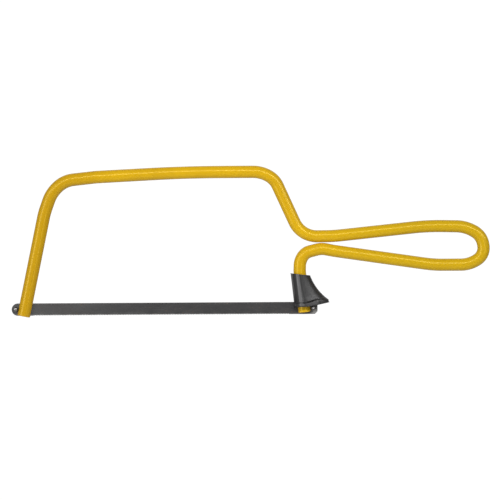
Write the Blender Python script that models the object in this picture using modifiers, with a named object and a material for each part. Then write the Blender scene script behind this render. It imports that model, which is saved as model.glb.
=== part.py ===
"""Junior hacksaw: a bent steel rod frame that is handle and bow in one, a pin-end blade held in
slots in the two leg ends by its cross pins, and a moulded finger guard sleeved on the rear leg.

Lengths below are millimetres. The saw stands upright: +X runs along the blade from the front pin
to the handle, +Z is up, and everything is symmetric about the plane y = 0. The path of the rod
and the blade are laid out from the front pin, at (0, 0), and one empty then moves the whole saw
so that the middle of its lowest level is the origin.
"""

import math

import bmesh
import bpy
import numpy as np
from mathutils import Vector

MM = 0.001

# Blade
BLADE_LENGTH = 150.0
BLADE_WIDTH = 6.1
BLADE_THICKNESS = 0.65
BLADE_END_MARGIN = 2.1  # pin centre to the blade's end
PIN_ABOVE_MIDDLE = 0.1  # the pins lie this much above the middle of the blade's width
BLADE_REAR_CHAMFER = 1.3
TOOTH_PITCH = 0.794  # 32 teeth per inch
TOOTH_DEPTH = 0.42
TOOTH_RAKE = 0.06  # how far a gullet lies in front of its tooth's tip
TEETH_FROM_FRONT_PIN = 9.0
TEETH_FROM_REAR_PIN = 12.0

# Cross pins
PIN_DIAMETER = 2.0
PIN_LENGTH = 6.0
PIN_EDGE = 0.15
PIN_HOLE_CLEARANCE = 0.15  # radial, pin to blade

# Frame rod
ROD_DIAMETER = 6.1  # over its coat
ROD_EDGE = 0.35  # chamfer round each cut end
ROD_SIDES = 16
ARC_STEP = 7.0  # degrees of bend between two rings of the rod
FRONT_PIN_GAP = 0.3  # front leg to front pin
REAR_PIN_GAP = 0.4  # rear leg to rear pin, enough for the pin to swing past the splayed end
FRONT_LEAN = 11.7  # degrees off the vertical, feet outwards
REAR_LEAN = 6.6
FRONT_FOOT = 0.3  # how far the leg's cut end reaches below the blade
REAR_FOOT = -1.0  # this one ends above the blade's lower edge
SLOT_SIDE_GAP = 0.2  # leg slot to each side of the blade
SLOT_END_GAP = 0.3  # closed end of a slot to the blade's back

# Bow: heights of the rod's centre line above the pins
BAR_HEIGHT = 66.85
KNEE_DROP = 19.6  # where the front leg starts to turn into the bar
BROW_DROP = 9.7
BROW_X = 3.5  # behind the knee, as the next two are
SHOULDER_DROP = 3.85
SHOULDER_X = 10.0
BAR_FRONT_DROP = 2.2  # the bar is crowned: its front end lies lower than its middle
BAR_FRONT_X = 25.15
CROWN_OFFSET = 3.8
BAR_END_BEFORE_PIN = 25.6
SLANT_TOP_BEFORE_PIN = 18.65
SLANT_TOP_DROP = 3.5
SLANT_END_BEFORE_PIN = 5.75

# Handle loop
HANDLE_LENGTH = 84.15  # rear pin to the end of the loop
HANDLE_HEIGHT = 19.1
WAIST_HEIGHT = 28.75  # lower rod at the waist
WAIST_GAP = 0.15  # between the two rods where they almost meet
WAIST_REAR_X = 10.25  # from the rear pin
WAIST_LOWER_X = 4.2
WAIST_LOWER_RISE = 0.35
HANDLE_TOP_RISE = 11.1  # highest point of the loop above the waist's lower rod
LOOP_TOP_FRONT = 28.0  # before the end of the loop, as the rest of the loop's are
LOOP_TOP_REAR = 9.2
LOOP_TURN = 1.05
LOOP_TURN_DROP = 5.1
LOOP_END_RISE = 4.75
LOOP_LOW_REAR = 7.3
LOOP_LOW_FRONT = 24.95
REAR_TOP_BEFORE_PIN = 3.8
REAR_TOP_DROP = 1.65  # top of the rear leg below the waist
REAR_BEND_DROP = 5.8
REAR_KNEE_DROP = 10.8

# Finger guard
GUARD_TOP = 16.45  # its top, on the leg's axis, above the blade's centre line
GUARD_BOTTOM = 0.15
GUARD_WALL = 1.3
GUARD_BACK_WALL = 1.6  # behind the bore, at the top
GUARD_BORE_GAP = 0.3
GUARD_SLOPE = 0.48  # share of the flare that is straight, the rest growing with the square
GUARD_REACH = 12.3  # leg's axis to the tip of the finger rest
GUARD_HALF_WIDTH = 6.2
GUARD_LIP = 0.3
GUARD_LIP_HEIGHT = 2.2
GUARD_BLADE_GAP = 0.3
GUARD_RING = 40  # points round a section
GUARD_REST_RISE = 2.1  # how much higher the tip of the finger rest ends than the sleeve

ROD_R = ROD_DIAMETER / 2
PIN_R = PIN_DIAMETER / 2
PIN_SPAN = BLADE_LENGTH - 2 * BLADE_END_MARGIN
HALF_WIDTH = BLADE_WIDTH / 2
BLADE_TOP = HALF_WIDTH - PIN_ABOVE_MIDDLE
BLADE_LOW = -HALF_WIDTH - PIN_ABOVE_MIDDLE
BORE_R = ROD_R + GUARD_BORE_GAP
LEAN_F = math.radians(FRONT_LEAN)
LEAN_R = math.radians(REAR_LEAN)


def front_axis(z):
    """x of the front leg's axis at a height: the leg's outer face stays clear of the pin."""
    return (ROD_R + PIN_R + FRONT_PIN_GAP + z * math.sin(LEAN_F)) / math.cos(LEAN_F)


def rear_axis(z):
    """x of the rear leg's axis at a height."""
    reach = ROD_R + PIN_R + REAR_PIN_GAP
    return PIN_SPAN - (reach + z * math.sin(LEAN_R)) / math.cos(LEAN_R)


def rod_corners():
    """(x, z, bend radius) where the rod's straight runs would meet, from the front foot to the
    rear one."""
    end = PIN_SPAN + HANDLE_LENGTH
    upper = WAIST_HEIGHT + ROD_DIAMETER + WAIST_GAP
    knee_x = front_axis(BAR_HEIGHT - KNEE_DROP)
    bar_start = knee_x + BAR_FRONT_X
    bar_end = PIN_SPAN - BAR_END_BEFORE_PIN
    foot_f = BLADE_LOW - FRONT_FOOT
    foot_r = BLADE_LOW - REAR_FOOT
    knee_r = WAIST_HEIGHT - REAR_KNEE_DROP
    top = WAIST_HEIGHT + HANDLE_TOP_RISE
    low = top - HANDLE_HEIGHT
    return [
        (front_axis(foot_f), foot_f, 0),
        (knee_x, BAR_HEIGHT - KNEE_DROP, 33.8),
        (knee_x + BROW_X, BAR_HEIGHT - BROW_DROP, 16.7),
        (knee_x + SHOULDER_X, BAR_HEIGHT - SHOULDER_DROP, 13.3),
        (bar_start, BAR_HEIGHT - BAR_FRONT_DROP, 15.1),
        ((bar_start + bar_end) / 2 + CROWN_OFFSET, BAR_HEIGHT, 770.0),
        (bar_end, BAR_HEIGHT, 15.5),
        (PIN_SPAN - SLANT_TOP_BEFORE_PIN, BAR_HEIGHT - SLANT_TOP_DROP, 10.8),
        (PIN_SPAN - SLANT_END_BEFORE_PIN, upper, 12.1),
        (PIN_SPAN + WAIST_REAR_X, upper + 0.1, 73.0),
        (end - LOOP_TOP_FRONT, top, 121.0),
        (end - LOOP_TOP_REAR, top - 0.35, 17.8),
        (end - LOOP_TURN, top - LOOP_TURN_DROP, 9.0),
        (end, low + LOOP_END_RISE, 6.85),
        (end - LOOP_LOW_REAR, low, 14.5),
        (end - LOOP_LOW_FRONT, low, 65.0),
        (PIN_SPAN + WAIST_REAR_X - 0.6, WAIST_HEIGHT - 0.8, 83.0),
        (PIN_SPAN + WAIST_LOWER_X, WAIST_HEIGHT + WAIST_LOWER_RISE, 10.8),
        (PIN_SPAN - REAR_TOP_BEFORE_PIN, WAIST_HEIGHT - REAR_TOP_DROP, 5.95),
        (rear_axis(knee_r) + 0.15, WAIST_HEIGHT - REAR_BEND_DROP, 8.5),
        (rear_axis(knee_r), knee_r, 9.8),
        (rear_axis(foot_r), foot_r, 0),
    ]


def bent_path(corners, step):
    """The corners with each bend rounded to its radius, as points at most `step` degrees of bend
    apart. A bend that has no room gets the largest radius that fits."""
    points = [Vector(c[:2]) for c in corners]
    path = [points[0]]
    for before, here, after, (_, _, radius) in zip(points, points[1:], points[2:], corners[1:]):
        back, ahead = before - here, after - here
        half = (math.pi - back.angle(ahead)) / 2
        room = 0.49 * min(back.length, ahead.length)
        radius = min(radius, room / math.tan(half))
        tangent = radius * math.tan(half)
        start = here + back.normalized() * tangent
        middle = (back.normalized() + ahead.normalized()).normalized()
        centre = here + middle * (radius / math.cos(half))
        count = max(1, math.ceil(math.degrees(2 * half) / step))
        spoke = start - centre
        turn = 1 if back.x * ahead.y - back.y * ahead.x < 0 else -1
        for k in range(count + 1):
            a = turn * 2 * half * k / count
            path.append(centre + Vector((spoke.x * math.cos(a) - spoke.y * math.sin(a),
                                         spoke.x * math.sin(a) + spoke.y * math.cos(a))))
    path.append(points[-1])
    return path


def material(name, colour, roughness, metallic):
    mat = bpy.data.materials.new(name)
    mat.use_nodes = True
    shader = mat.node_tree.nodes["Principled BSDF"]
    shader.inputs["Base Color"].default_value = (*colour, 1)
    shader.inputs["Roughness"].default_value = roughness
    shader.inputs["Metallic"].default_value = metallic
    mat.diffuse_color = (*colour, 1)
    return mat


def place(obj, collection, parent):
    for old in list(obj.users_collection):
        old.objects.unlink(obj)
    collection.objects.link(obj)
    obj.parent = parent
    return obj


def cutter(obj, cutters, parent):
    obj.hide_render = True
    obj.display_type = "WIRE"
    return place(obj, cutters, parent)


def cut(obj, tool):
    boolean = obj.modifiers.new(tool.name, "BOOLEAN")
    boolean.operation = "DIFFERENCE"
    boolean.solver = "EXACT"
    boolean.object = tool


def smooth(obj, angle=35):
    obj.data.shade_smooth()
    obj.data.set_sharp_from_angle(angle=math.radians(angle))


def box(name, low, high, cutters, parent, lean=0.0):
    """A box cutter between two corners, turned about the Y axis through its middle."""
    size = [(b - a) * MM for a, b in zip(low, high)]
    bpy.ops.mesh.primitive_cube_add(size=1)
    obj = bpy.context.object
    obj.name = name
    obj.location = [(a + b) / 2 * MM for a, b in zip(low, high)]
    obj.rotation_euler.y = lean
    obj.scale = size
    return cutter(obj, cutters, parent)


def cylinder(name, radius, length, at, vertices):
    """A cylinder along Y, centred on (x, z)."""
    bpy.ops.mesh.primitive_cylinder_add(radius=radius * MM, depth=length * MM, vertices=vertices)
    obj = bpy.context.object
    obj.name = name
    obj.rotation_euler.x = math.pi / 2
    obj.location = (at[0] * MM, 0, at[1] * MM)
    return obj


def curve_to_mesh(curve_obj, name):
    """A mesh object in metres made from the evaluated curve, which is drawn in millimetres, with
    its loose caps welded on."""
    bpy.context.view_layer.update()
    graph = bpy.context.evaluated_depsgraph_get()
    mesh = bpy.data.meshes.new_from_object(curve_obj.evaluated_get(graph))
    bm = bmesh.new()
    bm.from_mesh(mesh)
    bmesh.ops.remove_doubles(bm, verts=bm.verts, dist=1e-4)
    bmesh.ops.scale(bm, verts=bm.verts, vec=(MM, MM, MM))
    bmesh.ops.recalc_face_normals(bm, faces=bm.faces)
    bm.to_mesh(mesh)
    bm.free()
    obj = bpy.data.objects.new(name, mesh)
    obj.matrix_world = curve_obj.matrix_world
    bpy.data.objects.remove(curve_obj)
    return obj


def make_frame(parts, cutters, root):
    path = bent_path(rod_corners(), ARC_STEP)
    # A ring just inside each end, where the chamfer starts.
    first = path[0] + (path[1] - path[0]).normalized() * ROD_EDGE
    last = path[-1] + (path[-2] - path[-1]).normalized() * ROD_EDGE
    points = [path[0], first, *path[1:-1], last, path[-1]]
    curve = bpy.data.curves.new("frame_path", "CURVE")
    curve.dimensions = "3D"
    curve.bevel_depth = ROD_R
    curve.bevel_resolution = (ROD_SIDES - 4) // 2
    curve.use_fill_caps = True
    spline = curve.splines.new("POLY")
    spline.points.add(len(points) - 1)
    for p, point in zip(spline.points, points):
        p.co = (point.x, 0, point.y, 1)
    for end in (0, -1):
        spline.points[end].radius = 1 - ROD_EDGE / ROD_R
    rod = bpy.data.objects.new("frame_path", curve)
    bpy.context.scene.collection.objects.link(rod)
    frame = place(curve_to_mesh(rod, "frame"), parts, root)

    half = BLADE_THICKNESS / 2 + SLOT_SIDE_GAP
    long = 4 * ROD_DIAMETER
    # A slot's closed end is square to its leg, and its lower corner clears the blade's back.
    for name, axis, lean in (("front_slot", front_axis, LEAN_F), ("rear_slot", rear_axis, -LEAN_R)):
        top = BLADE_TOP + SLOT_END_GAP
        rise = (top + ROD_R * abs(math.sin(lean))) / math.cos(lean)
        tool = box(name, (-long / 2, -half, -long), (long / 2, half, 0), cutters, root, lean)
        middle = -long / 2
        tool.location = ((axis(rise) + middle * math.sin(lean)) * MM, 0,
                         (rise + middle * math.cos(lean)) * MM)
        cut(frame, tool)
    smooth(frame)
    frame.data.materials.append(material("frame", (0.72, 0.40, 0.012), 0.32, 0.0))
    return frame


def blade_outline():
    """The blade's side view, as (x, z): round front end, straight back, chamfered rear end, and
    teeth that point to the front."""
    front, rear = -BLADE_END_MARGIN, PIN_SPAN + BLADE_END_MARGIN
    c = BLADE_REAR_CHAMFER
    points = [(rear - c, BLADE_TOP), (rear, BLADE_TOP - c), (rear, BLADE_LOW + c), (rear - c, BLADE_LOW)]
    first, last = TEETH_FROM_FRONT_PIN, PIN_SPAN - TEETH_FROM_REAR_PIN
    count = int((last - first) / TOOTH_PITCH)
    points.append((first + count * TOOTH_PITCH, BLADE_LOW))
    for k in reversed(range(count)):
        tip = first + k * TOOTH_PITCH
        points.append((tip + TOOTH_PITCH - TOOTH_RAKE, BLADE_LOW + TOOTH_DEPTH))
        points.append((tip, BLADE_LOW))
    centre = front + HALF_WIDTH
    for k in range(17):
        a = -math.pi / 2 - math.pi * k / 16
        points.append((centre + HALF_WIDTH * math.cos(a), HALF_WIDTH * math.sin(a) - PIN_ABOVE_MIDDLE))
    return points


def make_blade(parts, cutters, root):
    pivot = bpy.data.objects.new("blade_pivot", None)
    place(pivot, parts, root)
    # The outline is one face, extruded through the blade's thickness.
    bm = bmesh.new()
    side = Vector((0, BLADE_THICKNESS / 2, 0))
    corners = [bm.verts.new((Vector((x, 0, z)) - side) * MM) for x, z in blade_outline()]
    flat = bm.faces.new(corners)
    swept = bmesh.ops.extrude_face_region(bm, geom=[flat])["geom"]
    moved = [item for item in swept if isinstance(item, bmesh.types.BMVert)]
    bmesh.ops.translate(bm, verts=moved, vec=2 * side * MM)
    bmesh.ops.recalc_face_normals(bm, faces=bm.faces)
    mesh = bpy.data.meshes.new("blade")
    bm.to_mesh(mesh)
    bm.free()
    blade = place(bpy.data.objects.new("blade", mesh), parts, pivot)
    blade.data.materials.append(material("blade", (0.07, 0.068, 0.07), 0.45, 0.85))

    steel = material("pin", (0.42, 0.41, 0.39), 0.3, 1.0)
    for name, x in (("front_pin", 0.0), ("rear_pin", PIN_SPAN)):
        hole = cylinder(name + "_hole", PIN_R + PIN_HOLE_CLEARANCE, 8 * BLADE_THICKNESS, (x, 0), 24)
        cutter(hole, cutters, pivot)
        cut(blade, hole)
        pin = place(cylinder(name, PIN_R, PIN_LENGTH, (x, 0), 24), parts, pivot)
        edge = pin.modifiers.new("edge", "BEVEL")
        edge.width = PIN_EDGE * MM
        edge.segments = 1
        edge.limit_method = "ANGLE"
        smooth(pin)
        pin.data.materials.append(steel)
    return blade


def guard_sections():
    """Rings of the guard from top to bottom, as an array of (x, y, z), each ring's first and last
    points on the plane y = 0. A section is an egg: the leg's axis is its centre, and its front and
    rear half have their own reach. It grows from the sleeve's circle to the finger rest."""
    outer = BORE_R + GUARD_WALL
    back = BORE_R + GUARD_BACK_WALL
    height = GUARD_TOP - GUARD_BOTTOM
    lip = GUARD_LIP_HEIGHT / height
    levels = [0.0, 0.1, 0.22, 0.34, 0.46, 0.57, 0.67, 0.76, 0.83, 1 - lip, 1 - lip + 0.025, 1.0]
    angle = np.linspace(0, np.pi, GUARD_RING // 2 + 1)
    rings = []
    for u in levels:
        grown = GUARD_LIP if u > 1 - lip else 0.0
        body = min(u / (1 - lip), 1.0)
        flare = GUARD_SLOPE * body + (1 - GUARD_SLOPE) * body ** 2
        front = outer + grown * 0.3
        rear = back + (GUARD_REACH - GUARD_LIP - back) * flare + grown
        wide = outer + (GUARD_HALF_WIDTH - GUARD_LIP - outer) * body ** 1.5 + grown
        power = 2 / (2 + 0.5 * u)
        c, s = np.cos(angle), np.sin(angle)
        x = np.where(c > 0, rear, front) * np.sign(c) * np.abs(c) ** power
        y = wide * s ** power
        z = GUARD_TOP - u * height
        sleeve = -math.tan(LEAN_R) * x
        rest = GUARD_REST_RISE * (np.clip(x - 2.5, 0, None) / (GUARD_REACH - 2.5)) ** 1.05
        z = z + sleeve * (1 - u) + (rest + 0.03 * x) * u
        rings.append(np.stack([rear_axis(GUARD_TOP - u * height) + x, y, z], axis=1))
    return np.array(rings)


def make_guard(parts, cutters, root):
    rings = guard_sections()
    half = rings.shape[1]
    bm = bmesh.new()
    loops = []
    for ring in rings:
        near = [bm.verts.new(Vector(p) * MM) for p in ring]
        far = [bm.verts.new(Vector((p[0], -p[1], p[2])) * MM) for p in ring[1:-1]]
        loops.append((near, [near[0], *far, near[-1]]))
    for (near, far), (near_low, far_low) in zip(loops, loops[1:]):
        for k in range(half - 1):
            bm.faces.new((near[k], near[k + 1], near_low[k + 1], near_low[k]))
            bm.faces.new((far[k + 1], far[k], far_low[k], far_low[k + 1]))
    # The top and the bottom are strips across the width, from one side's points to the other's.
    for (near, far), up in ((loops[0], True), (loops[-1], False)):
        for k in range(half - 1):
            face = list(dict.fromkeys((near[k], near[k + 1], far[k + 1], far[k])))
            bm.faces.new(face[::-1] if up else face)
    bmesh.ops.recalc_face_normals(bm, faces=bm.faces)
    # The object's origin sits on the leg's axis, level with the blade.
    origin = Vector((rear_axis(0) * MM, 0, 0))
    bmesh.ops.translate(bm, verts=bm.verts, vec=-origin)
    mesh = bpy.data.meshes.new("blade_guard")
    bm.to_mesh(mesh)
    bm.free()
    guard = place(bpy.data.objects.new("blade_guard", mesh), parts, root)
    guard.location = origin

    bpy.ops.mesh.primitive_cylinder_add(radius=BORE_R * MM, depth=3 * GUARD_TOP * MM, vertices=32)
    bore = bpy.context.object
    bore.name = "guard_bore"
    bore.rotation_euler.y = -LEAN_R
    middle = GUARD_TOP / 2
    bore.location = (rear_axis(middle) * MM, 0, middle * MM)
    cut(guard, cutter(bore, cutters, root))
    side = BLADE_THICKNESS / 2 + GUARD_BLADE_GAP
    rear = PIN_SPAN + BLADE_END_MARGIN + GUARD_BLADE_GAP
    cut(guard, box("guard_blade_slot", (PIN_SPAN - 20, -side, BLADE_LOW),
                   (rear, side, BLADE_TOP + GUARD_BLADE_GAP), cutters, root))
    room = PIN_R + GUARD_BLADE_GAP
    side = PIN_LENGTH / 2 + GUARD_BLADE_GAP
    cut(guard, box("guard_pin_pocket", (PIN_SPAN - room, -side, BLADE_LOW),
                   (PIN_SPAN + room, side, room), cutters, root))
    smooth(guard, 40)
    guard.data.materials.append(material("guard", (0.055, 0.052, 0.055), 0.38, 0.0))
    return guard


def settle(root, parts):
    """Moves the saw so that the middle of its box's bottom is the origin."""
    bpy.context.view_layer.update()
    graph = bpy.context.evaluated_depsgraph_get()
    corners = []
    for obj in parts.objects:
        if obj.type == "MESH":
            done = obj.evaluated_get(graph)
            corners += [done.matrix_world @ Vector(c) for c in done.bound_box]
    xs, zs = [c.x for c in corners], [c.z for c in corners]
    root.location = (-(min(xs) + max(xs)) / 2, 0, -min(zs))
    bpy.context.view_layer.update()


def main():
    for obj in list(bpy.data.objects):
        bpy.data.objects.remove(obj)
    parts = bpy.data.collections.new("junior_hacksaw")
    cutters = bpy.data.collections.new("cutters")
    for collection in (parts, cutters):
        bpy.context.scene.collection.children.link(collection)
    root = bpy.data.objects.new("hacksaw_origin", None)
    parts.objects.link(root)
    make_frame(parts, cutters, root)
    make_blade(parts, cutters, root)
    make_guard(parts, cutters, root)
    settle(root, parts)


main()
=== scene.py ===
"""The looks of the junior hacksaw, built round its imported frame.

Sizes are in millimetres and are laid out from the front pin's centre: +X along the blade to the
handle, +Y away from the viewer, +Z up. `place` turns them into metres in the frame's own axes.
"""

import math

import bmesh
import bpy
import numpy as np
from mathutils import Matrix, Vector


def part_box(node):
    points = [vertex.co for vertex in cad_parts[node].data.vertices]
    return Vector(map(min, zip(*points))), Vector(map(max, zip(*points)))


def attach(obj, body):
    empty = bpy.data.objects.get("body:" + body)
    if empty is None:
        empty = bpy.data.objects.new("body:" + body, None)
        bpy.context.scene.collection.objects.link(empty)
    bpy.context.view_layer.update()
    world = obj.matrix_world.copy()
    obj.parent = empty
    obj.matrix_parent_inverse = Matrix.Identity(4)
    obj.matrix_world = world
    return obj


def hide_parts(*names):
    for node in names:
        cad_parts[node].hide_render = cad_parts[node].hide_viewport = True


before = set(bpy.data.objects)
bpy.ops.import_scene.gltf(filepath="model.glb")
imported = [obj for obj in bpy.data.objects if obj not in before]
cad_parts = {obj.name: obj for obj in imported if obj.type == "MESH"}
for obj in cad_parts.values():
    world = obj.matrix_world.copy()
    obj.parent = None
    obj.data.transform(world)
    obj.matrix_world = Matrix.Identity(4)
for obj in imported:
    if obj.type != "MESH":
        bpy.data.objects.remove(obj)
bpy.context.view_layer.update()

MM = 0.001

COAT = (0.63, 0.376, 0.0065)
COAT_DEEP = (0.57, 0.332, 0.006)


def middle(node):
    low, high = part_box(node)
    return (low + high) / 2


FRONT_PIN = middle("front_pin")
REAR_PIN = middle("rear_pin")
PIN_SPAN = (REAR_PIN.x - FRONT_PIN.x) / MM

# The blade.
BLADE_TOP = 2.94
BLADE_LOW = -3.12
BLADE_THICK = 0.65
BLADE_MARGIN = 2.1  # pin to the blade's end
BLADE_CHAMFER = 1.3
TOOTH_PITCH = 0.794
TOOTH_DEPTH = 0.36
TEETH_START = 9.0  # behind the front pin
TEETH_END = 12.0  # before the rear pin
PIN_R = 1.0
PIN_HALF = 3.0

# The rod.
ROD_R = 3.05
FRONT_LEAN = math.radians(11.7)
REAR_LEAN = math.radians(6.6)
FRONT_REACH = ROD_R + PIN_R + 0.3  # leg axis to pin, square to the leg
REAR_REACH = ROD_R + PIN_R + 0.4
FRONT_FOOT = -3.45
REAR_FOOT = -2.15
SLOT_HALF = BLADE_THICK / 2 + 0.2
SLOT_TOP = 3.25
BAR_HEIGHT = 66.85
WAIST_HEIGHT = 28.75
WAIST_GAP = 0.15
HANDLE_END = PIN_SPAN + 84.15
HANDLE_TOP = WAIST_HEIGHT + 11.1
HANDLE_LOW = HANDLE_TOP - 19.1

# The guard.
BORE_R = ROD_R + 0.3
GUARD_WALL = 1.3
GUARD_GAP = 0.3  # round the blade
GUARD_TOP = 16.45
GUARD_FOOT = 0.55
GUARD_HEIGHT = GUARD_TOP - GUARD_FOOT
RIM_HEIGHT = 2.2
RIM_AT = 1 - RIM_HEIGHT / GUARD_HEIGHT  # depth of the crease above the rim


def place(points):
    """Millimetres from the front pin to metres in the frame's axes."""
    return np.asarray(points, float) * MM + np.array(FRONT_PIN)


def front_axis(z):
    return (FRONT_REACH + z * math.sin(FRONT_LEAN)) / math.cos(FRONT_LEAN)


def rear_axis(z):
    return PIN_SPAN - (REAR_REACH + z * math.sin(REAR_LEAN)) / math.cos(REAR_LEAN)


# --- Meshes -----------------------------------------------------------------------------------

def surface(name, points, uv=None, marks=None):
    """A closed mesh from a grid of points, rows by columns, in millimetres. Four neighbours make a
    face, the last column joins the first, and points that fall together are merged, which closes
    the poles. uv gives each grid corner its two map values, with one column more than the points
    have. marks gives named values to each point."""
    rows, cols = points.shape[:2]
    r, c = np.meshgrid(np.arange(rows - 1), np.arange(cols), indexing="ij")
    r, c = r.ravel(), c.ravel()
    after = (c + 1) % cols
    this, below = r * cols, (r + 1) * cols
    faces = np.stack([this + c, below + c, below + after, this + after], 1)
    mesh = bpy.data.meshes.new(name)
    mesh.from_pydata(place(points.reshape(-1, 3)).tolist(), [], faces.tolist())
    if uv is not None:
        layer = mesh.uv_layers.new(name="UVMap")
        this, below = r * uv.shape[1] + c, (r + 1) * uv.shape[1] + c
        corners = np.stack([this, below, below + 1, this + 1], 1)
        layer.data.foreach_set("uv", uv.reshape(-1, 2)[corners.ravel()].astype(np.float32).ravel())
    for key, values in (marks or {}).items():
        layer = mesh.attributes.new(key, "FLOAT", "POINT")
        layer.data.foreach_set("value", values.astype(np.float32).ravel())
    bm = bmesh.new()
    bm.from_mesh(mesh)
    bmesh.ops.remove_doubles(bm, verts=bm.verts, dist=1e-7)
    bmesh.ops.recalc_face_normals(bm, faces=bm.faces)
    bm.to_mesh(mesh)
    bm.free()
    obj = bpy.data.objects.new(name, mesh)
    bpy.context.scene.collection.objects.link(obj)
    return obj


def smooth(obj, degrees=35):
    obj.data.shade_smooth()
    obj.data.set_sharp_from_angle(angle=math.radians(degrees))


def slab(name, low, high, pivot=(0, 0), lean=0.0):
    """A box between two corners, turned about the Y axis through a pivot (x, z)."""
    x, y, z = (np.array([low[i], high[i]]) for i in range(3))
    px, pz = pivot
    ring = [(0, 0), (1, 0), (1, 1), (0, 1)]
    foot, top = ([(x[i], y[j], level) for i, j in ring] for level in z)
    points = np.array([[np.mean(foot, axis=0)] * 4, foot, top, [np.mean(top, axis=0)] * 4])
    dx, dz = points[..., 0].copy(), points[..., 2].copy()
    points[..., 0] = px + dx * math.cos(lean) + dz * math.sin(lean)
    points[..., 2] = pz + dz * math.cos(lean) - dx * math.sin(lean)
    return surface(name, points)


def carve(obj, tools):
    """Cuts the tools out of the object for good, and removes them. A cut face takes its tool's
    finish."""
    for tool in tools:
        cut = obj.modifiers.new(tool.name, "BOOLEAN")
        cut.operation = "DIFFERENCE"
        cut.solver = "EXACT"
        cut.object = tool
        cut.material_mode = "TRANSFER"
    bpy.context.view_layer.update()
    graph = bpy.context.evaluated_depsgraph_get()
    mesh = bpy.data.meshes.new_from_object(obj.evaluated_get(graph))
    obj.modifiers.clear()
    obj.data = mesh
    for tool in tools:
        bpy.data.objects.remove(tool)


# --- Shader maths -----------------------------------------------------------------------------

class Value:
    """A shader socket. Python's arithmetic on it adds the Math node that does it."""

    def __init__(self, finish, socket):
        self.finish, self.socket = finish, socket

    def maths(self, operation, *others):
        inputs = dict(enumerate((self, *others)))
        return self.finish.node("Math", {"operation": operation}, inputs)

    def __add__(self, other):
        return self.maths("ADD", other)

    def __sub__(self, other):
        return self.maths("SUBTRACT", other)

    def __rsub__(self, other):
        return self.finish.node("Math", {"operation": "SUBTRACT"}, {0: other, 1: self})

    def __mul__(self, other):
        return self.maths("MULTIPLY", other)

    def __truediv__(self, other):
        return self.maths("DIVIDE", other)

    __radd__, __rmul__ = __add__, __mul__

    def bell(self, centre, width):
        """One at the centre, falling to nothing over a few widths."""
        off = (self - centre) / width
        return (off * off * -1).maths("EXPONENT")

    def step(self, low, high):
        """Nothing below low, one above high, eased between."""
        return self.finish.node("MapRange", {"interpolation_type": "SMOOTHSTEP"},
                                {"Value": self, "From Min": low, "From Max": high})


class Finish:
    """A material and the means to wire it."""

    def __init__(self, name, **plain):
        self.material = bpy.data.materials.new(name)
        self.material.use_nodes = True
        self.tree = self.material.node_tree
        self.shader = self.tree.nodes["Principled BSDF"]
        for socket, value in plain.items():
            self.shader.inputs[socket.replace("_", " ")].default_value = value

    def node(self, kind, settings=None, inputs=None, out=0):
        made = self.tree.nodes.new("ShaderNode" + kind)
        for key, value in (settings or {}).items():
            if key == "stops":
                elements = made.color_ramp.elements
                while len(elements) < len(value):
                    elements.new(1.0)
                for element, (at, colour) in zip(elements, value):
                    element.position, element.color = at, (*colour, 1)
            else:
                setattr(made, key, value)
        for key, value in (inputs or {}).items():
            self.feed(made.inputs[key], value)
        return Value(self, made.outputs[out])

    def feed(self, socket, value):
        if isinstance(value, Value):
            self.tree.links.new(value.socket, socket)
        elif isinstance(value, tuple) and len(value) == 3 and socket.type == "RGBA":
            socket.default_value = (*value, 1)
        else:
            socket.default_value = value

    def mix(self, factor, a, b):
        return self.node("Mix", {"data_type": "RGBA"}, {0: factor, 6: a, 7: b}, out=2)

    def place(self, source="Object", scale=(1, 1, 1)):
        at = self.node("TexCoord", out=source)
        return self.node("Mapping", None, {"Vector": at, "Scale": scale})

    def across(self, axis):
        """Millimetres from the front pin along one of the frame's axes, x or z."""
        at = self.node("SeparateXYZ", None, {0: self.node("TexCoord", out="Object")},
                       out=axis.upper())
        return (at - getattr(FRONT_PIN, axis)) / MM

    def away_from(self, point):
        """Metres from a point given in millimetres from the front pin."""
        return self.node("VectorMath", {"operation": "DISTANCE"},
                         {0: self.node("TexCoord", out="Object"), 1: tuple(place(point))},
                         out="Value")

    def noise(self, at, scale, detail=2.0, rough=0.5, distort=0.0):
        return self.node("TexNoise", None, {"Vector": at, "Scale": scale, "Detail": detail,
                                            "Roughness": rough, "Distortion": distort})

    def cells(self, at, scale):
        return self.node("TexVoronoi", None, {"Vector": at, "Scale": scale})

    def set(self, **sockets):
        for name, value in sockets.items():
            self.feed(self.shader.inputs[name.replace("_", " ")], value)

    def bump(self, height, distance):
        return self.node("Bump", None, {"Height": height, "Distance": distance, "Strength": 1.0})


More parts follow.
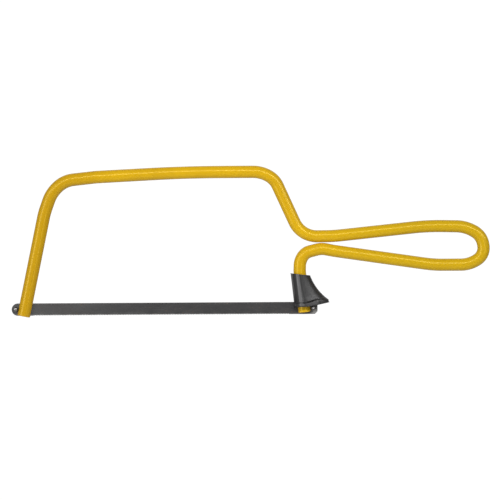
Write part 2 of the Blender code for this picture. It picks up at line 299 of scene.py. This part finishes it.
def coat_finish(length, rubbed, chips):
    """Glossy yellow dip coat on the rod. The UV map runs along the rod in millimetres and round
    it in turns. The coat is slightly uneven in colour and gloss, dimpled like orange peel and
    rubbed duller by the hand. The second argument holds (place along the rod, width, strength) of
    each worn spot, chips the points where the coat has come off down to the steel."""
    f = Finish("yellow_coat", IOR=1.5, Coat_Roughness=0.30, Specular_Tint=(1.0, 0.82, 0.22, 1.0))
    along = f.node("SeparateXYZ", None, {0: f.node("TexCoord", out="UV")})
    at = f.place()
    cloud = f.noise(at, 38, 3, 0.55)
    fine = f.noise(at, 420, 3, 0.6)
    peel = f.noise(at, 900, 2, 0.5)
    flow = f.noise(f.place("UV", (0.06, 5.0, 1)), 1.0, 3, 0.6)
    x = f.across("x")
    body = f.mix(cloud.step(0.35, 0.68), COAT, COAT_DEEP)
    body = f.mix(flow.step(0.5, 0.8) * 0.3, body, (0.55, 0.31, 0.010))
    # The coat is darker on the front leg and the handle.
    body = f.mix((1 - x.step(2, 60)) * 0.9, body, (0.475, 0.268, 0.006))
    body = f.mix(x.step(PIN_SPAN - 15, PIN_SPAN + 45) * 0.6, body, (0.48, 0.312, 0.006))
    # Specks of dust caught in the coat.
    speck = f.cells(at, 260)
    dust = (1 - speck.step(0.04, 0.07)) * fine.step(0.56, 0.66)
    body = f.mix(dust * 0.09, body, (0.30, 0.16, 0.02))
    wear_and_painted_glint = along.bell(0.0, 2.2) * 0.6 + along.bell(length, 2.2) * 0.6 + 0.05
    for spot, width, strength in rubbed:
        wear_and_painted_glint = wear_and_painted_glint + along.bell(spot, width) * strength
    bare = f.noise(at, 620, 4, 0.62, 0.6)
    nick = (bare + wear_and_painted_glint * 0.16).step(0.745, 0.775)
    for point in chips:
        away = f.away_from(point) / MM
        nick = nick.maths("MAXIMUM", 1 - (away + bare * 1.1).step(0.95, 1.15))
    scuff = (f.noise(f.place("UV", (0.5, 9.0, 1)), 1.0, 4, 0.7) + wear_and_painted_glint * 0.3).step(0.66, 0.86)
    body = f.mix(scuff * 0.30, body, (0.55, 0.33, 0.07))
    body = f.mix(nick, body, (0.13, 0.105, 0.08))
    f.set(Base_Color=body, Metallic=nick * 0.6,
          Roughness=0.20 + cloud * 0.06 + fine * 0.01 + scuff * 0.16 + nick * 0.2,
          Coat_Weight=0.06 - scuff * 0.03 - nick * 0.03)
    height = peel * 0.04 + cloud * 3 - nick * 5 - scuff * 0.4
    f.set(Normal=f.bump(height, 0.000007))
    return f.material


def bare_steel_finish():
    """Sawn steel inside the leg slots: fine marks across the cut, a trace of rust."""
    f = Finish("slot_steel", Metallic=0.9)
    at = f.place(scale=(1, 1, 7))
    marks = f.noise(at, 1500, 2, 0.6)
    stain = f.noise(f.place(), 500, 3, 0.6)
    base = f.mix(stain.step(0.45, 0.7), (0.22, 0.21, 0.20), (0.12, 0.075, 0.045))
    f.set(Base_Color=base, Roughness=0.36 + marks * 0.25)
    f.set(Normal=f.bump(marks, 0.00003))
    return f.material


def blade_finish():
    """Blackened hardened steel: rolled grain along the blade, cloudy tempering blotches, paler
    towards the front and where the rear end is worn, lighter rub marks, and brighter ground metal
    at the tips of the teeth."""
    f = Finish("blade_steel", IOR=1.6)
    blotch = f.noise(f.place(scale=(0.35, 1, 1)), 190, 4, 0.62, 0.5)
    cloud = f.noise(f.place(scale=(0.5, 1, 1)), 42, 3, 0.5)
    grain = f.noise(f.place(scale=(0.03, 1, 1)), 4200, 3, 0.65)
    freckle = f.noise(f.place(), 1300, 2, 0.6)
    x, z = f.across("x"), f.across("z")
    tone = blotch * 0.5 + cloud * 0.35 + (grain - 0.5) * 0.2 + 0.075
    shades = [(0.30, (0.018, 0.0175, 0.0185)), (0.50, (0.030, 0.029, 0.030)),
              (0.70, (0.048, 0.046, 0.045))]
    base = f.node("ValToRGB", {"stops": shades}, {0: tone})
    pale = 1 - x.step(8, 75)
    base = f.mix(pale * 0.6, base, (0.080, 0.081, 0.081))
    tint = f.noise(f.place(scale=(0.4, 1, 1)), 70, 2, 0.5)
    base = f.mix(tint.step(0.5, 0.7) * 0.35, base, (0.040, 0.031, 0.028))
    wear_and_painted_glint = x.step(PIN_SPAN - 2.4, PIN_SPAN + 0.6) * blotch.step(0.32, 0.62)
    base = f.mix(wear_and_painted_glint * 0.9, base, (0.26, 0.255, 0.245))
    rust = (freckle + blotch * 0.4).step(0.83, 0.92)
    base = f.mix(rust * 0.5, base, (0.105, 0.072, 0.050))
    ground = 1 - z.step(BLADE_LOW + TOOTH_DEPTH, BLADE_LOW + TOOTH_DEPTH + 0.5)
    base = f.mix(ground * 0.6, base, (0.20, 0.195, 0.19))
    rub = f.noise(f.place(scale=(0.012, 1, 1)), 2600, 2, 0.7).step(0.62, 0.74)
    base = f.mix(rub * 0.25, base, (0.15, 0.147, 0.142))
    f.set(Base_Color=base, Metallic=0.35 + ground * 0.4,
          Roughness=0.42 + blotch * 0.2 + rust * 0.2 - rub * 0.06)
    f.set(Normal=f.bump(grain * 0.6 + blotch * 0.5 + freckle * 0.25, 0.000018))
    return f.material


def pin_finish():
    """Drawn steel wire, blackened, with fine drawing marks and a painted highlight on its domed
    ends.
    """
    f = Finish("pin_steel", Metallic=1.0)
    stain = f.noise(f.place(), 900, 3, 0.6)
    # The point map read here holds the painted highlight on the pin ends.
    wear_and_painted_glint = f.node("Attribute", {"attribute_name": "rubbed"}, out="Fac")
    base = f.mix(stain.step(0.42, 0.68), (0.22, 0.213, 0.205), (0.08, 0.072, 0.065))
    # Painted highlight: a near-white spot painted on the middle of each domed end.
    base = f.mix(wear_and_painted_glint * (0.8 + stain * 0.4), base, (0.92, 0.91, 0.89))
    f.set(Base_Color=base, Roughness=0.20 + stain * 0.2 + wear_and_painted_glint * 0.15)
    f.set(Normal=f.bump(f.noise(f.place(scale=(1, 0.1, 1)), 3500, 2), 0.00001))
    return f.material


def guard_finish():
    """Charcoal moulded plastic: satin, with a fine spark-eroded grain and faint flow clouds. A
    point map of painted light makes it paler where it is above zero, a painted highlight, and near
    black where it is below zero, painted shade. A few pale rub marks run down it."""
    f = Finish("guard_plastic", IOR=1.48, Coat_Roughness=0.25)
    at = f.place()
    grain = f.noise(at, 2600, 3, 0.6)
    cloud = f.noise(at, 160, 3, 0.5)
    rub = f.noise(f.place(scale=(1, 1, 0.2)), 700, 3, 0.7).step(0.64, 0.8)
    painted_light = f.node("Attribute", {"attribute_name": "rubbed"}, out="Fac")
    base = f.mix(cloud.step(0.3, 0.7), (0.012, 0.0115, 0.012), (0.018, 0.017, 0.018))
    base = f.mix(rub * 0.2, base, (0.055, 0.053, 0.055))
    # Painted highlight: paler where the map is above zero.
    base = f.mix(painted_light * (0.7 + cloud * 0.3), base, (0.108, 0.106, 0.108))
    # Painted shade: near black where the map is below zero.
    base = f.mix(painted_light * -1, base, (0.004, 0.004, 0.004))
    f.set(Base_Color=base, Coat_Weight=0.10,
          Roughness=0.36 + grain * 0.10 + cloud * 0.06 + rub * 0.1 - painted_light * 0.05)
    f.set(Normal=f.bump(grain * 0.5 + cloud * 0.3, 0.00003))
    return f.material


# --- The rod ----------------------------------------------------------------------------------

def rod_corners():
    """(x, z, bend radius, rod radius) where the rod's straight runs would meet, front foot to rear
    foot. The coat is thickest on the front leg and thinnest on the slanted back and the handle."""
    upper = WAIST_HEIGHT + 2 * ROD_R + WAIST_GAP
    knee_z = BAR_HEIGHT - 19.6
    knee_x = front_axis(knee_z)
    bar_start = knee_x + 25.15
    bar_end = PIN_SPAN - 25.6
    elbow_z = WAIST_HEIGHT - 10.8
    elbow_x = rear_axis(elbow_z)
    return np.array([
        (front_axis(FRONT_FOOT), FRONT_FOOT, 0, 3.18),
        (knee_x, knee_z, 33.8, 3.17),
        (knee_x + 3.5, BAR_HEIGHT - 9.7, 16.7, 3.15),
        (knee_x + 10.0, BAR_HEIGHT - 3.85, 13.3, 3.13),
        (bar_start, BAR_HEIGHT - 2.2, 15.1, 3.11),
        ((bar_start + bar_end) / 2 + 3.8, BAR_HEIGHT, 770, 3.05),
        (bar_end, BAR_HEIGHT, 15.5, 3.05),
        (PIN_SPAN - 18.65, BAR_HEIGHT - 3.5, 10.8, 3.04),
        (PIN_SPAN - 5.75, upper, 12.1, 3.0),
        (PIN_SPAN + 10.25, upper + 0.1, 73, 3.0),
        (HANDLE_END - 28.0, HANDLE_TOP, 121, 3.0),
        (HANDLE_END - 9.2, HANDLE_TOP - 0.35, 17.8, 3.03),
        (HANDLE_END - 1.05, HANDLE_TOP - 5.1, 9.0, 3.04),
        (HANDLE_END, HANDLE_LOW + 4.75, 6.85, 3.04),
        (HANDLE_END - 7.3, HANDLE_LOW, 14.5, 3.04),
        (HANDLE_END - 24.95, HANDLE_LOW, 65, 3.02),
        (PIN_SPAN + 9.65, WAIST_HEIGHT - 0.8, 83, 3.0),
        (PIN_SPAN + 4.2, WAIST_HEIGHT + 0.35, 10.8, 3.03),
        (PIN_SPAN - 3.8, WAIST_HEIGHT - 1.65, 5.95, 3.06),
        (elbow_x + 0.15, WAIST_HEIGHT - 5.8, 8.5, 3.08),
        (elbow_x, elbow_z, 9.8, 3.08),
        (rear_axis(REAR_FOOT), REAR_FOOT, 0, 3.06)])


def bent_path(corners, turn_step=2.0, run_step=1.2):
    """Straight runs joined by arcs: each corner is cut back by radius times the tangent of half
    its turn, and the arc between is divided into equal turns. Runs are divided into equal
    lengths."""
    p = corners[:, :2]
    stops = [p[:1]]
    for before, here, after, radius in zip(p, p[1:], p[2:], corners[1:, 2]):
        back = (before - here) / np.linalg.norm(before - here)
        ahead = (after - here) / np.linalg.norm(after - here)
        half = (math.pi - math.acos(float(np.clip(back @ ahead, -1, 1)))) / 2
        room = 0.49 * min(np.linalg.norm(before - here), np.linalg.norm(after - here))
        radius = min(radius, room / math.tan(half))
        toward = (back + ahead) / np.linalg.norm(back + ahead)
        centre = here + toward * radius / math.cos(half)
        spoke = here + back * radius * math.tan(half) - centre
        sign = 1.0 if back[0] * ahead[1] - back[1] * ahead[0] < 0 else -1.0
        count = max(2, math.ceil(math.degrees(2 * half) / turn_step),
                    math.ceil(radius * 2 * half / run_step))
        a = sign * 2 * half * np.linspace(0, 1, count + 1)
        arc = np.stack([spoke[0] * np.cos(a) - spoke[1] * np.sin(a),
                        spoke[0] * np.sin(a) + spoke[1] * np.cos(a)], 1) + centre
        stops.append(arc)
    stops.append(p[-1:])
    path = [stops[0]]
    for one, two in zip(stops, stops[1:]):
        run = two[0] - one[-1]
        count = max(1, math.ceil(np.linalg.norm(run) / run_step))
        path.append(one[-1] + run * np.linspace(0, 1, count + 1)[1:, None])
        path.append(two[1:])
    return np.concatenate(path)


def rod_surface(sides=64, edge=0.4):
    """A round tube along the path. Ring radius: straight lines between the corners' rod radii,
    less a slow waviness of the coat of a fiftieth of a millimetre, and at both ends a quarter
    circle that rounds the cut edge."""
    corners = rod_corners()
    path = bent_path(corners)
    gap = np.linalg.norm(np.diff(path, axis=0), axis=1)
    path = path[np.concatenate([[True], gap > 1e-6])]
    along = np.concatenate([[0], np.cumsum(np.linalg.norm(np.diff(path, axis=0), axis=1))])
    length = along[-1]
    nearest = [int(np.argmin(np.hypot(*(path - c[:2]).T))) for c in corners]
    inside = (along > edge * 1.05) & (along < length - edge * 1.05)
    turn = np.linspace(0, np.pi / 2, 7)
    cap_at = edge * (1 - np.cos(turn))
    cap_in = edge * (1 - np.sin(turn))
    pole = [ROD_R * 2]
    s = np.concatenate([[0], cap_at, along[inside], length - cap_at[::-1], [length]])
    shrink = np.concatenate([pole, cap_in, np.zeros(inside.sum()), cap_in[::-1], pole])
    x, z = np.interp(s, along, path[:, 0]), np.interp(s, along, path[:, 1])
    dx, dz = np.gradient(path[:, 0], along), np.gradient(path[:, 1], along)
    dx, dz = np.interp(s, along, dx), np.interp(s, along, dz)
    norm = np.hypot(dx, dz)
    dx, dz = dx / norm, dz / norm
    angle = np.linspace(0, 2 * np.pi, sides, endpoint=False)
    a, ss = angle[None, :], s[:, None]
    wave = 0.5 + 0.25 * np.sin(ss / 9.7 + 2 * a) + 0.25 * np.sin(ss / 23.0 - a + 1.3)
    rod_r = np.interp(s, along[nearest], corners[:, 3])[:, None]
    radius = np.maximum(rod_r - shrink[:, None] - 0.02 * wave, 0)
    points = np.stack([x[:, None] - dz[:, None] * radius * np.cos(a), radius * np.sin(a),
                       z[:, None] + dx[:, None] * radius * np.cos(a)], axis=2)
    u = np.repeat(s[:, None], sides + 1, axis=1)
    v = np.repeat(np.linspace(0, 1, sides + 1)[None, :], len(s), axis=0)
    return points, np.stack([u, v], axis=2), path, along


def make_frame():
    points, uv, path, along = rod_surface()
    # The coat is rubbed where the rod passes the waist, twice, and at the back of the handle loop.
    spots = [(PIN_SPAN + 3.0, 35.0, 6.0, 0.4), (PIN_SPAN + 3.0, 29.0, 6.0, 0.4),
             (PIN_SPAN + 84.0, 30.0, 9.0, 0.35)]
    rubbed = [(float(along[np.argmin(np.hypot(path[:, 0] - x, path[:, 1] - z))]), width, strength)
              for x, z, width, strength in spots]
    chips = [(137.6, -2.2, 41.2), (231.4, -1.6, 28.6)]
    rod = surface("rod_frame", points, uv)
    rod.data.materials.append(coat_finish(float(along[-1]), rubbed, chips))
    steel = bare_steel_finish()
    tools = []
    for name, axis, lean in (("front_slot", front_axis, FRONT_LEAN),
                             ("rear_slot", rear_axis, -REAR_LEAN)):
        rise = (SLOT_TOP + ROD_R * abs(math.sin(lean))) / math.cos(lean)
        tool = slab(name, (-12, -SLOT_HALF, -24), (12, SLOT_HALF, 0), (axis(rise), rise), lean)
        tool.data.materials.append(steel)
        tools.append(tool)
    carve(rod, tools)
    smooth(rod, 40)
    return rod


# --- The blade and its pins -------------------------------------------------------------------

def make_blade():
    """The blade as a sheet of columns along its length and rows across its width. Each row's
    height is clipped between the lower and upper outline at its column, so the round front end,
    the chamfered rear end and every tooth come from the outline alone. The tooth rows are bent to
    either side by a slow sine wave, the wave set."""
    front, rear = -BLADE_MARGIN, PIN_SPAN + BLADE_MARGIN
    half_width = (BLADE_TOP - BLADE_LOW) / 2
    centre = (BLADE_TOP + BLADE_LOW) / 2
    count = int((PIN_SPAN - TEETH_END - TEETH_START) / TOOTH_PITCH)
    tips = TEETH_START + TOOTH_PITCH * np.arange(count)
    teeth = (tips[:, None] + np.array([-0.06, 0.0, 0.07, 0.4, 0.7])[None, :]).ravel()
    depth = np.tile(np.array([1.0, 0.0, 0.05, 0.48, 0.9]) * TOOTH_DEPTH, count)
    nose = front + half_width * (1 - np.cos(np.linspace(0, np.pi / 2, 24)))
    plain = np.concatenate([np.linspace(nose[-1], teeth[0] - 0.3, 10)[1:],
                            np.linspace(teeth[-1] + 0.25, rear - BLADE_CHAMFER, 14),
                            rear - BLADE_CHAMFER + np.linspace(0, BLADE_CHAMFER, 6)[1:]])
    x = np.concatenate([nose, plain, teeth])
    lift = np.concatenate([np.zeros(len(nose) + len(plain)), depth])
    order = np.argsort(x, kind="stable")
    x, lift = x[order], lift[order]
    inner = np.clip(x - front, 0, half_width)
    rounded = np.sqrt(np.clip(half_width ** 2 - (half_width - inner) ** 2, 0, None))
    tail = half_width - np.clip(x - (rear - BLADE_CHAMFER), 0, None)
    reach = np.minimum(rounded, tail)
    high = centre + reach
    # The toothed edge runs a little closer to the back towards the rear.
    low = centre - reach + lift + 0.09 * np.clip(x / PIN_SPAN, 0, 1)
    levels = np.concatenate([BLADE_TOP - np.array([0, 0.02, 0.1]), [2.3, 1.3, 0.0, -1.2, -2.0],
                             BLADE_LOW + np.array([0.75, 0.6, 0.45, 0.33, 0.2, 0.0])])
    z = np.clip(levels[None, :], low[:, None], high[:, None])
    half = np.full(z.shape, BLADE_THICK / 2)
    # The back's two edges are broken by a small chamfer.
    half[:, 0] -= 0.07
    half[:, 1] -= 0.03
    bent = np.clip((-2.0 - z) / 1.1, 0, 1) ** 1.5
    toothed = np.clip((x - teeth[0]) / 4, 0, 1) * np.clip((teeth[-1] - x) / 4, 0, 1)
    wave = 0.11 * np.sin(2 * np.pi * x / (TOOTH_PITCH * 9))
    sway = wave[:, None] * bent * toothed[:, None]
    near = np.stack([np.repeat(x[:, None], z.shape[1], 1), sway - half, z], 2)
    far = np.stack([np.repeat(x[:, None], z.shape[1], 1), sway + half, z], 2)[:, ::-1]
    points = np.concatenate([near, far], axis=1)
    # A first and last column on the middle line close the two ends.
    first, last = points[:1].copy(), points[-1:].copy()
    first[..., 1] = 0
    last[..., 1] = 0
    blade = surface("hacksaw_blade", np.concatenate([first, points, last]))
    blade.data.materials.append(blade_finish())
    smooth(blade, 25)
    return blade


def make_pin(name, x, wear_and_painted_glint):
    """A pin turned about the Y axis: half a profile from its domed end, an ellipse, in to the
    blade's face, mirrored to the other end. The middle of its ends carries a painted highlight."""
    edge = np.linspace(0, np.pi / 2, 14)
    r = np.concatenate([PIN_R * np.sin(edge), [PIN_R, PIN_R, PIN_R + 0.12, PIN_R + 0.12]])
    y = np.concatenate([-PIN_HALF + 0.55 * (1 - np.cos(edge)), [-1.2, -0.5, -0.38, -0.30]])
    r, y = np.concatenate([r, r[::-1]]), np.concatenate([y, -y[::-1]])
    angle = np.linspace(0, 2 * np.pi, 40, endpoint=False)
    points = np.stack([x + r[:, None] * np.cos(angle), np.repeat(y[:, None], 40, 1),
                       r[:, None] * np.sin(angle)], axis=2)
    # Painted highlight: a bright spot at the middle of each end; the last argument sets how strong
    # it is.
    bright = wear_and_painted_glint * np.exp(-(r / 0.45) ** 4)[:, None] * np.ones(40)
    pin = surface(name, points, marks={"rubbed": bright})
    pin.data.materials.append(PIN_FINISH)
    smooth(pin, 50)
    return pin


# --- The finger guard -------------------------------------------------------------------------

def guard_section(u, inset=0.0):
    """One ring of the guard at depth u, from 0 at its top to 1 at its foot: x and half width from
    the leg's axis, and its painted light, painted highlight above zero and painted shade below.
    It is an egg with its own reach to the front and the rear, widening downwards. On it lie the rib
    that follows the rod, between two shallow grooves, and near the foot the crease above the rim,
    which stands a little proud."""
    body = min(u / RIM_AT, 1.0)
    proud = float(np.clip((u - RIM_AT) / 0.025, 0, 1))
    outer = BORE_R + GUARD_WALL
    front = outer + 0.09 * proud
    rear = outer + 0.3 + 7.05 * (0.48 * body + 0.52 * body ** 2) + 0.3 * proud
    wide = outer + 1.25 * body ** 1.5
    power = 2 / (2 + 0.5 * u)
    t = np.linspace(0, np.pi, 97)
    c = np.cos(t)
    x = np.where(c > 0, rear, front) * np.sign(c) * np.abs(c) ** power
    # The rim's upper edge rises behind the rod.
    rim = RIM_AT + 0.015 - 0.012 * np.clip(x - 1.5, 0, 8)
    crease = np.exp(-((u - rim + 0.006) / 0.016) ** 2)
    proud = np.clip((u - rim) / 0.025, 0, 1) * np.clip((8.2 - x) / 0.7, 0, 1)
    width = (wide + 0.28 * proud) * np.sin(t) ** power
    side = np.sin(t) ** 0.7
    above = 1 - proud * 0.75
    behind = np.clip((x - 0.9) / 1.6, 0, 1)
    spread = 0.3 + 0.7 * behind
    fold = crease * spread * np.clip((8.0 - x) / 2.5, 0, 1)
    rib = np.exp(-((x + 1.45 - 0.3 * u - 0.4 * proud) / 0.95) ** 4)
    valley = np.exp(-((x - 0.05 - 0.5 * u) / 0.6) ** 2) * above
    flank = np.exp(-((x + 2.9) / 0.6) ** 2)
    cheek = math.exp(-((u - RIM_AT + 0.13) / 0.10) ** 2) * behind
    cheek = cheek * np.exp(-((x - 1.6 - 4.4 * (RIM_AT - u)) / 2.6) ** 2)
    hollow = np.exp(-((x - 5.2 - 1.0 * u) / 1.9) ** 2) * body
    width = width + side * (0.12 * rib - 0.34 * valley - 0.10 * flank - 0.25 * hollow * above
                            - 0.45 * fold)
    width = np.maximum(width, 0)
    width[0] = width[-1] = 0
    # Masks for painted light on the front edge, the upper rear, the rim's tip and its lip.
    brow = np.clip((-3.5 - x) / 0.5, 0, 1) * float(np.clip((0.8 - u) / 0.3, 0, 1))
    shade = behind * float(np.clip((0.75 - u) / 0.2, 0, 1))
    tip = crease * np.clip((x - 8) / 2, 0, 1)
    lip = proud * (1 - rib) * np.clip((7.4 - x) / 0.8, 0, 1)
    # Painted light: painted highlights on the rib, the front edge (brow), the cheek and the rim's
    # tip and lip; painted shade along the front groove (flank), the valley, the crease and the
    # upper rear (shade).
    painted_light = (0.9 * rib + 0.9 * brow + 0.4 * cheek - 0.8 * flank - 1.0 * valley
                - 1.2 * fold - 0.5 * shade + 0.4 * tip + 0.35 * lip)
    if inset:
        dx, dy = np.gradient(x), np.gradient(width)
        size = np.hypot(dx, dy)
        x, width = x + inset * dy / size, np.maximum(width - inset * -dx / size, 0)
        width[0] = width[-1] = 0
    return x, width, painted_light


def guard_surface():
    """The guard's rings from top to foot, and each point's painted light. Each ring lies on the
    leg's axis; its plane tips from square to the leg at the top to nearly level at the foot, and
    the finger rest rises towards its tip. Both rims are rounded by rings drawn in along a quarter
    circle."""
    turn = np.linspace(0, np.pi / 2, 6)
    drop = 0.3 * (1 - np.cos(turn)) / GUARD_HEIGHT
    inset = 0.3 * (1 - np.sin(turn))
    under = 0.6 * (1 - np.cos(turn)) / GUARD_HEIGHT
    levels = np.concatenate([np.linspace(0.03, RIM_AT - 0.11, 40),
                             np.linspace(RIM_AT - 0.10, RIM_AT + 0.04, 29),
                             [RIM_AT + 0.055, RIM_AT + 0.075]])
    us = np.concatenate([drop, levels, 1 - under[::-1]])
    ins = np.concatenate([inset, np.zeros(len(levels)), 1.5 * inset[::-1]])
    rings, painted_light_map = [], []
    for u, i in zip(us, ins):
        x, y, rubbed = guard_section(float(u), float(i))
        level = GUARD_TOP - u * GUARD_HEIGHT
        sleeve = -math.tan(REAR_LEAN) * x
        rest = 1.75 * (np.clip(x - 2.5, 0, None) / 9.8) ** 1.05
        z = level + sleeve * (1 - u) + (rest + 0.03 * x) * u
        x = rear_axis(level) + x
        near = np.stack([x, -y, z], 1)
        rings.append(np.concatenate([near, near[-2:0:-1] * (1, -1, 1)]))
        # Painted shade: the underside of the foot's rounded edge is painted near black.
        rubbed = np.where(u > 1 - under[-2], -0.9, rubbed)
        painted_light_map.append(np.concatenate([rubbed, rubbed[-2:0:-1]]))
    rings = np.array(rings)
    spine = rings[[0, -1]].copy()
    spine[..., 1] = 0
    return np.concatenate([spine[:1], rings, spine[1:]]), np.array([painted_light_map[0], *painted_light_map, painted_light_map[-1]])


def tube_tool(name, low, high, radius, sides=72):
    """A round cutter along the rear leg's axis between two heights."""
    z = np.array([low, low, high, high], float)
    r = np.array([0, radius, radius, 0], float)
    angle = np.linspace(0, 2 * np.pi, sides, endpoint=False)
    side = r[:, None] * np.cos(angle)
    x = rear_axis(0) - (z * math.tan(REAR_LEAN))[:, None]
    points = np.stack([x + side * math.cos(REAR_LEAN), r[:, None] * np.sin(angle),
                       z[:, None] + side * math.sin(REAR_LEAN)], axis=2)
    return surface(name, points)


def make_guard():
    points, painted_light_map = guard_surface()
    # The point map holds the guard's painted highlights and painted shade.
    guard = surface("finger_guard", points, marks={"rubbed": painted_light_map})
    plastic = guard_finish()
    guard.data.materials.append(plastic)
    rear = PIN_SPAN + BLADE_MARGIN + GUARD_GAP
    side = BLADE_THICK / 2 + GUARD_GAP
    tools = [tube_tool("bore", -8, 26, BORE_R),
             slab("blade_slot", (PIN_SPAN - 20, -side, BLADE_LOW), (rear, side, SLOT_TOP)),
             slab("pin_pocket", (PIN_SPAN - 1.3, -3.3, BLADE_LOW), (PIN_SPAN + 1.3, 3.3, 1.3))]
    for tool in tools:
        tool.data.materials.append(plastic)
    carve(guard, tools)
    smooth(guard, 38)
    return guard


# --- Assembly ---------------------------------------------------------------------------------

PIN_FINISH = pin_finish()
rod = make_frame()
blade = make_blade()
# The pins' last argument sets the painted highlight on their ends, strongest on the rear pin.
front_pin = make_pin("blade_front_pin", 0.0, 0.25)
rear_pin = make_pin("blade_rear_pin", PIN_SPAN, 1.0)
guard = make_guard()

for piece, body, node, slot in ((rod, "frame", "frame", "yellow_coat"),
                                (blade, "blade", "blade", "blade_steel"),
                                (front_pin, "blade", "front_pin", "pin_steel"),
                                (rear_pin, "blade", "rear_pin", "pin_steel"),
                                (guard, "guard", "blade_guard", "guard_plastic")):
    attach(piece, body)
    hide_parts(node)


# --- Stage, light and camera ------------------------------------------------------------------

def make_floor():
    """A round pale floor, far enough below for the blade to hang down, that fades out at its
    edge."""
    rings = np.linspace(0, 700, 15)[:, None]
    angle = np.linspace(0, 2 * np.pi, 96, endpoint=False)
    centre = (115.0, -160.0)
    points = np.stack([centre[0] + rings * np.cos(angle), rings * np.sin(angle),
                       np.full((15, 96), centre[1])], axis=2)
    floor = surface("floor", points)
    f = Finish("floor_paper", Roughness=0.9)
    f.set(Base_Color=(0.9, 0.9, 0.9))
    f.set(Alpha=1 - f.away_from((centre[0], 0, centre[1])).step(0.25, 0.66))
    floor.data.materials.append(f.material)


def area_light(name, aim, away, size, power):
    """A soft box, away metres from the point that it faces."""
    data = bpy.data.lights.new(name, "AREA")
    data.shape = "RECTANGLE"
    data.size, data.size_y = size
    data.energy = power
    light = bpy.data.objects.new(name, data)
    bpy.context.scene.collection.objects.link(light)
    light.location = aim + Vector(away)
    light.rotation_euler = (aim - light.location).to_track_quat("-Z", "Y").to_euler()


def make_world(fill, backdrop):
    """Even white surroundings. The eye sees them as bright paper, the saw is lit by them less."""
    world = bpy.data.worlds.new("studio")
    bpy.context.scene.world = world
    world.use_nodes = True
    tree = world.node_tree
    background = tree.nodes["Background"]
    seen = tree.nodes.new("ShaderNodeLightPath")
    level = tree.nodes.new("ShaderNodeMapRange")
    level.inputs["To Min"].default_value = fill
    level.inputs["To Max"].default_value = backdrop
    tree.links.new(seen.outputs["Is Camera Ray"], level.inputs["Value"])
    tree.links.new(level.outputs["Result"], background.inputs["Strength"])
    background.inputs["Color"].default_value = (1, 1, 1, 1)


def make_camera():
    """A long lens square to the saw's flat side, with the saw turned very slightly."""
    data = bpy.data.cameras.new("camera")
    data.lens, data.sensor_width = 200, 36
    view = 245.25 * MM  # width seen at the saw
    camera = bpy.data.objects.new("camera", data)
    bpy.context.scene.collection.objects.link(camera)
    aim = Vector(place((114.94, 0, 28.51)).tolist())
    distance = view * data.lens / data.sensor_width
    camera.location = aim + Vector((0, -distance, 0))
    level = Matrix.Rotation(math.pi / 2, 4, "X")
    roll = Matrix.Rotation(-math.radians(0.325), 4, "Z")
    camera.rotation_euler = (level @ roll).to_euler()
    bpy.context.scene.camera = camera
    return aim


make_floor()
aim = make_camera()
make_world(fill=0.20, backdrop=1.05)
area_light("key", aim, (-1.70, -1.45, 0.25), (0.9, 2.2), 27.0)
area_light("top_front", aim, (0.3, -0.95, 0.55), (2.2, 0.14), 13.0)
area_light("right_fill", aim, (0.60, -1.0, 0.1), (0.15, 0.6), 1.2)
area_light("rear", aim, (0.1, 1.1, 0.7), (2.6, 2.0), 5.5)
bpy.context.scene.view_settings.view_transform = "Standard"
